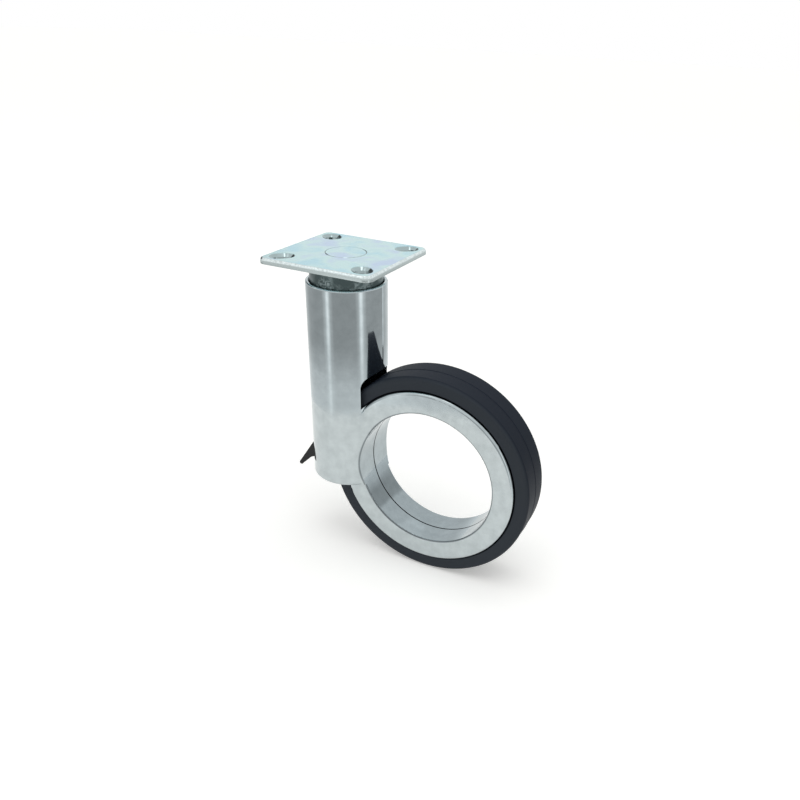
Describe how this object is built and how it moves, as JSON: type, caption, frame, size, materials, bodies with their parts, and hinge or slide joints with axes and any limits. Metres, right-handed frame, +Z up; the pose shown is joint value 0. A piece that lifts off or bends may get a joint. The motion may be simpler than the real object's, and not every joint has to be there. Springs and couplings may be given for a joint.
{
  "type": "furniture castor",
  "caption": "Swivel furniture castor: square screw plate, chromed column and a hubless wheel that turns on an open ring, with a small brake lever at the column's foot.",
  "frame": {"origin": "middle of the plate's top face, on the swivel axis", "axes": "+Z up along the swivel axis, +X from the swivel axis towards the wheel, Y along the wheel's axis"},
  "size_m": [0.0917, 0.04, 0.1095],
  "materials": {
    "zinc_plate": "satin",
    "dark_steel": "satin",
    "chrome": "polished",
    "tyre": "satin",
    "rim_plastic": "matte",
    "black_plastic": "satin",
    "white_plastic": "satin",
    "steel": "satin",
    "brass": "satin"
  },
  "bodies": {
    "plate": {"mounting_plate": "zinc_plate", "swivel_stud": "zinc_plate", "bearing_cup": "dark_steel", "stud_washer": "steel", "stud_circlip": "dark_steel"},
    "ball_ring": {"ball_cage": "brass", "bearing_balls": "steel"},
    "housing": {"front_housing": "chrome", "rear_housing": "chrome", "joining_pins": "steel", "ring_dowels": "steel", "lower_race": "steel", "stud_bush": "white_plastic", "front_glide_ring": "white_plastic", "rear_glide_ring": "white_plastic", "brake_pin": "steel", "brake_spring": "steel"},
    "wheel": {"wheel_rim": "rim_plastic", "tyre": "tyre"},
    "brake": {"brake_lever": "black_plastic"}
  },
  "joints": [
    {"name": "swivel", "type": "hinge", "parent": "plate", "child": "housing", "pos_m": [0, 0, 0], "axis": [0, 0, 1], "continuous": true},
    {"name": "ball_turn", "type": "hinge", "parent": "plate", "child": "ball_ring", "pos_m": [0, 0, 0], "axis": [0, 0, 1], "continuous": true},
    {"name": "wheel_spin", "type": "hinge", "parent": "housing", "child": "wheel", "pos_m": [0.0342, 0, -0.072], "axis": [0, 1, 0], "continuous": true},
    {"name": "brake_press", "type": "hinge", "parent": "housing", "child": "brake", "pos_m": [-0.00703, 0, -0.0665], "axis": [0, -1, 0], "range_deg": [0, 8], "stiffness_Nm_per_rad": 0.05, "springref_deg": -5.73}
  ],
  "couplings": [
    {"joint": "ball_turn", "follows": "swivel", "ratio": 0.5}
  ]
}
